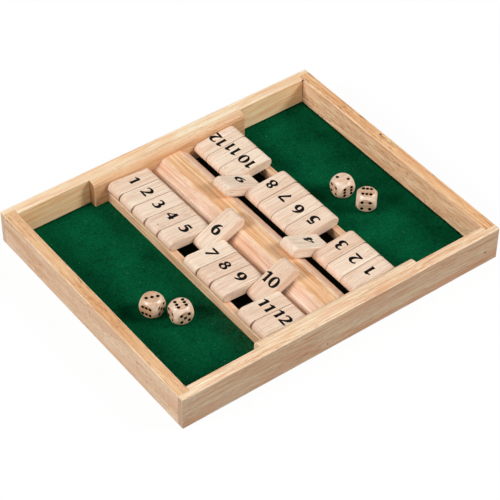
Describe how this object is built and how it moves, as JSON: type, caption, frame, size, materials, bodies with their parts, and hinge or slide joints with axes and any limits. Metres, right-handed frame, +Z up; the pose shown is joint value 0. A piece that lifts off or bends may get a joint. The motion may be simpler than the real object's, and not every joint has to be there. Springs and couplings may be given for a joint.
{
  "type": "shut the box game",
  "caption": "Open wooden game box with two facing rows of hinged number tiles down its middle, a felt tray on each side and wooden dice.",
  "frame": {"origin": "centre of the box's footprint on the table", "axes": "+X from the left player's tray to the right player's tray, +Y along the rows of tiles, +Z up"},
  "size_m": [0.35, 0.285, 0.04],
  "materials": {
    "board_wood": "satin",
    "panel_wood": "matte",
    "moulding_wood": "satin",
    "tile_wood": "satin",
    "dice_wood": "satin",
    "felt": "matte",
    "rod_steel": "satin"
  },
  "bodies": {
    "box": {"long_board_front": "board_wood", "long_board_back": "board_wood", "short_board_left": "board_wood", "short_board_right": "board_wood", "base_panel": "panel_wood", "felt": "felt", "end_block_front": "board_wood", "end_block_back": "board_wood", "rail_left": "board_wood", "rail_right": "board_wood", "centre_moulding": "moulding_wood", "rod_left": "rod_steel", "rod_right": "rod_steel"},
    "tile_left_1": {"tile_left_1": "tile_wood"},
    "tile_left_2": {"tile_left_2": "tile_wood"},
    "tile_left_3": {"tile_left_3": "tile_wood"},
    "tile_left_4": {"tile_left_4": "tile_wood"},
    "tile_left_5": {"tile_left_5": "tile_wood"},
    "tile_left_6": {"tile_left_6": "tile_wood"},
    "tile_left_7": {"tile_left_7": "tile_wood"},
    "tile_left_8": {"tile_left_8": "tile_wood"},
    "tile_left_9": {"tile_left_9": "tile_wood"},
    "tile_left_10": {"tile_left_10": "tile_wood"},
    "tile_left_11": {"tile_left_11": "tile_wood"},
    "tile_left_12": {"tile_left_12": "tile_wood"},
    "tile_right_1": {"tile_right_1": "tile_wood"},
    "tile_right_2": {"tile_right_2": "tile_wood"},
    "tile_right_3": {"tile_right_3": "tile_wood"},
    "tile_right_4": {"tile_right_4": "tile_wood"},
    "tile_right_5": {"tile_right_5": "tile_wood"},
    "tile_right_6": {"tile_right_6": "tile_wood"},
    "tile_right_7": {"tile_right_7": "tile_wood"},
    "tile_right_8": {"tile_right_8": "tile_wood"},
    "tile_right_9": {"tile_right_9": "tile_wood"},
    "tile_right_10": {"tile_right_10": "tile_wood"},
    "tile_right_11": {"tile_right_11": "tile_wood"},
    "tile_right_12": {"tile_right_12": "tile_wood"},
    "die_left_1": {"die_left_1": "dice_wood"},
    "die_left_2": {"die_left_2": "dice_wood"},
    "die_right_1": {"die_right_1": "dice_wood"},
    "die_right_2": {"die_right_2": "dice_wood"}
  },
  "joints": [
    {"name": "tile_left_1_hinge", "type": "hinge", "parent": "box", "child": "tile_left_1", "pos_m": [-0.03702, 0.11195, 0.02192], "axis": [0, 1, 0], "range_deg": [0, 150.64]},
    {"name": "tile_left_2_hinge", "type": "hinge", "parent": "box", "child": "tile_left_2", "pos_m": [-0.03702, 0.09175, 0.02192], "axis": [0, 1, 0], "range_deg": [0, 150.64]},
    {"name": "tile_left_3_hinge", "type": "hinge", "parent": "box", "child": "tile_left_3", "pos_m": [-0.03702, 0.07155, 0.02192], "axis": [0, 1, 0], "range_deg": [0, 150.64]},
    {"name": "tile_left_4_hinge", "type": "hinge", "parent": "box", "child": "tile_left_4", "pos_m": [-0.03702, 0.05135, 0.02192], "axis": [0, 1, 0], "range_deg": [0, 150.64]},
    {"name": "tile_left_5_hinge", "type": "hinge", "parent": "box", "child": "tile_left_5", "pos_m": [-0.03702, 0.03115, 0.02192], "axis": [0, 1, 0], "range_deg": [0, 150.64]},
    {"name": "tile_left_6_hinge", "type": "hinge", "parent": "box", "child": "tile_left_6", "pos_m": [-0.03702, 0.01095, 0.02192], "axis": [0, 1, 0], "range_deg": [-150.64, 0]},
    {"name": "tile_left_7_hinge", "type": "hinge", "parent": "box", "child": "tile_left_7", "pos_m": [-0.03702, -0.00925, 0.02192], "axis": [0, 1, 0], "range_deg": [0, 150.64]},
    {"name": "tile_left_8_hinge", "type": "hinge", "parent": "box", "child": "tile_left_8", "pos_m": [-0.03702, -0.02945, 0.02192], "axis": [0, 1, 0], "range_deg": [0, 150.64]},
    {"name": "tile_left_9_hinge", "type": "hinge", "parent": "box", "child": "tile_left_9", "pos_m": [-0.03702, -0.04965, 0.02192], "axis": [0, 1, 0], "range_deg": [0, 150.64]},
    {"name": "tile_left_10_hinge", "type": "hinge", "parent": "box", "child": "tile_left_10", "pos_m": [-0.03702, -0.06985, 0.02192], "axis": [0, 1, 0], "range_deg": [-150.64, 0]},
    {"name": "tile_left_11_hinge", "type": "hinge", "parent": "box", "child": "tile_left_11", "pos_m": [-0.03702, -0.09005, 0.02192], "axis": [0, 1, 0], "range_deg": [0, 150.64]},
    {"name": "tile_left_12_hinge", "type": "hinge", "parent": "box", "child": "tile_left_12", "pos_m": [-0.03702, -0.11025, 0.02192], "axis": [0, 1, 0], "range_deg": [0, 150.64]},
    {"name": "tile_right_1_hinge", "type": "hinge", "parent": "box", "child": "tile_right_1", "pos_m": [0.03702, -0.11025, 0.02192], "axis": [0, -1, 0], "range_deg": [0, 150.64]},
    {"name": "tile_right_2_hinge", "type": "hinge", "parent": "box", "child": "tile_right_2", "pos_m": [0.03702, -0.09005, 0.02192], "axis": [0, -1, 0], "range_deg": [0, 150.64]},
    {"name": "tile_right_3_hinge", "type": "hinge", "parent": "box", "child": "tile_right_3", "pos_m": [0.03702, -0.06985, 0.02192], "axis": [0, -1, 0], "range_deg": [0, 150.64]},
    {"name": "tile_right_4_hinge", "type": "hinge", "parent": "box", "child": "tile_right_4", "pos_m": [0.03702, -0.04965, 0.02192], "axis": [0, -1, 0], "range_deg": [-150.64, 0]},
    {"name": "tile_right_5_hinge", "type": "hinge", "parent": "box", "child": "tile_right_5", "pos_m": [0.03702, -0.02945, 0.02192], "axis": [0, -1, 0], "range_deg": [0, 150.64]},
    {"name": "tile_right_6_hinge", "type": "hinge", "parent": "box", "child": "tile_right_6", "pos_m": [0.03702, -0.00925, 0.02192], "axis": [0, -1, 0], "range_deg": [0, 150.64]},
    {"name": "tile_right_7_hinge", "type": "hinge", "parent": "box", "child": "tile_right_7", "pos_m": [0.03702, 0.01095, 0.02192], "axis": [0, -1, 0], "range_deg": [0, 150.64]},
    {"name": "tile_right_8_hinge", "type": "hinge", "parent": "box", "child": "tile_right_8", "pos_m": [0.03702, 0.03115, 0.02192], "axis": [0, -1, 0], "range_deg": [0, 150.64]},
    {"name": "tile_right_9_hinge", "type": "hinge", "parent": "box", "child": "tile_right_9", "pos_m": [0.03702, 0.05135, 0.02192], "axis": [0, -1, 0], "range_deg": [-150.64, 0]},
    {"name": "tile_right_10_hinge", "type": "hinge", "parent": "box", "child": "tile_right_10", "pos_m": [0.03702, 0.07155, 0.02192], "axis": [0, -1, 0], "range_deg": [0, 150.64]},
    {"name": "tile_right_11_hinge", "type": "hinge", "parent": "box", "child": "tile_right_11", "pos_m": [0.03702, 0.09175, 0.02192], "axis": [0, -1, 0], "range_deg": [0, 150.64]},
    {"name": "tile_right_12_hinge", "type": "hinge", "parent": "box", "child": "tile_right_12", "pos_m": [0.03702, 0.11195, 0.02192], "axis": [0, -1, 0], "range_deg": [0, 150.64]},
    {"name": "die_left_1_lift", "type": "slide", "parent": "box", "child": "die_left_1", "axis": [0, 0, 1], "range_m": [0, 0.06]},
    {"name": "die_left_2_lift", "type": "slide", "parent": "box", "child": "die_left_2", "axis": [0, 0, 1], "range_m": [0, 0.06]},
    {"name": "die_right_1_lift", "type": "slide", "parent": "box", "child": "die_right_1", "axis": [0, 0, 1], "range_m": [0, 0.06]},
    {"name": "die_right_2_lift", "type": "slide", "parent": "box", "child": "die_right_2", "axis": [0, 0, 1], "range_m": [0, 0.06]}
  ]
}
